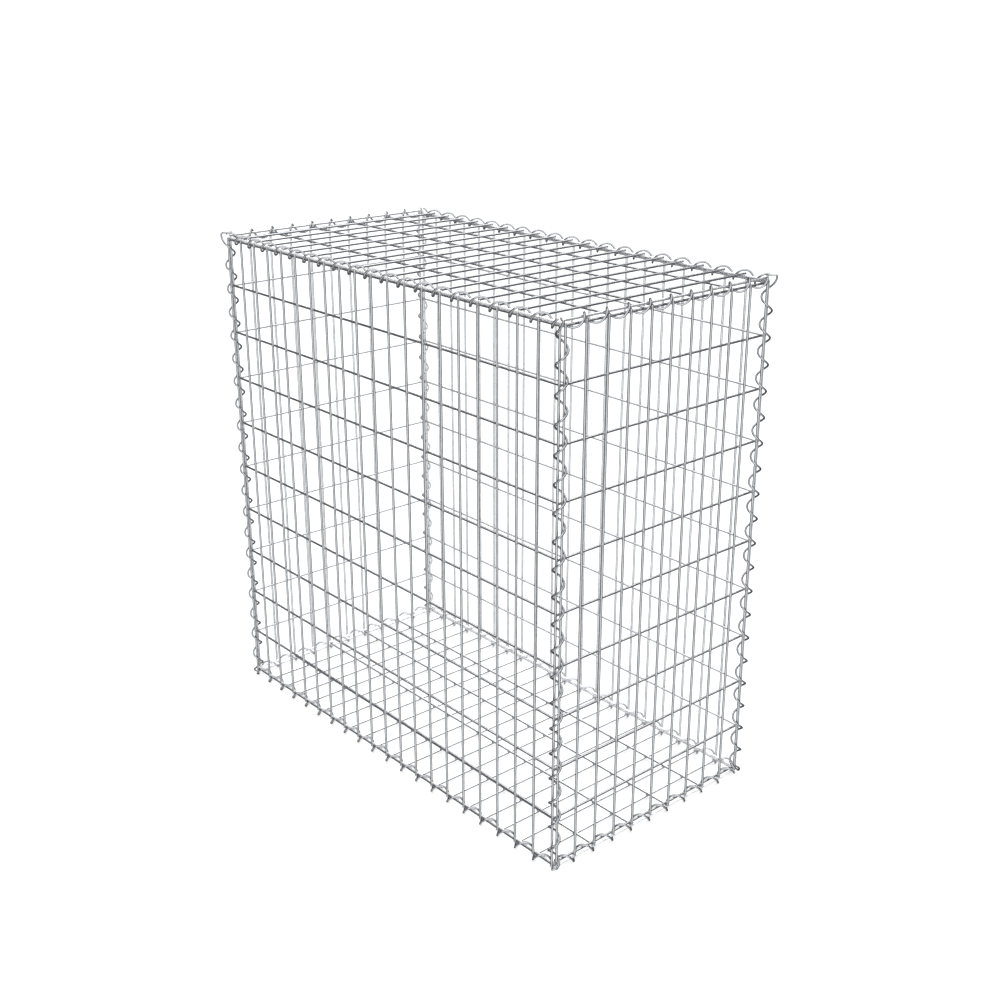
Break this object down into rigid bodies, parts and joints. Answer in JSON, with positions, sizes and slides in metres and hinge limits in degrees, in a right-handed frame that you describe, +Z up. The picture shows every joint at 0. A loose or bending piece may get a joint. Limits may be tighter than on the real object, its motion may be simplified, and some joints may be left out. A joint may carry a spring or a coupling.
{
  "type": "gabion basket",
  "caption": "Empty welded wire mesh gabion: a tall box of flat mesh panels laced along every edge by spiral wire binders, stood on the ground and filled with stone.",
  "frame": {"origin": "centre of the footprint, on the plane that the bottom binders stand on", "axes": "+X along the length, from the left end panel to the right one; +Y along the depth, from the front panel to the back; +Z up"},
  "size_m": [1.0272, 0.529, 1.0227],
  "materials": {
    "mesh_wire": "bright galvanised steel wire",
    "binder_wire": "galvanised steel spiral wire, a little darker"
  },
  "bodies": {
    "root": {"front_panel": "mesh_wire", "back_panel": "mesh_wire", "left_panel": "mesh_wire", "right_panel": "mesh_wire", "lid_panel": "mesh_wire", "base_panel": "mesh_wire", "binder_front_left": "binder_wire", "binder_front_right": "binder_wire", "binder_back_left": "binder_wire", "binder_back_right": "binder_wire", "binder_top_front": "binder_wire", "binder_top_back": "binder_wire", "binder_top_left": "binder_wire", "binder_top_right": "binder_wire", "binder_bottom_front": "binder_wire", "binder_bottom_back": "binder_wire", "binder_bottom_left": "binder_wire", "binder_bottom_right": "binder_wire"}
  },
  "joints": []
}
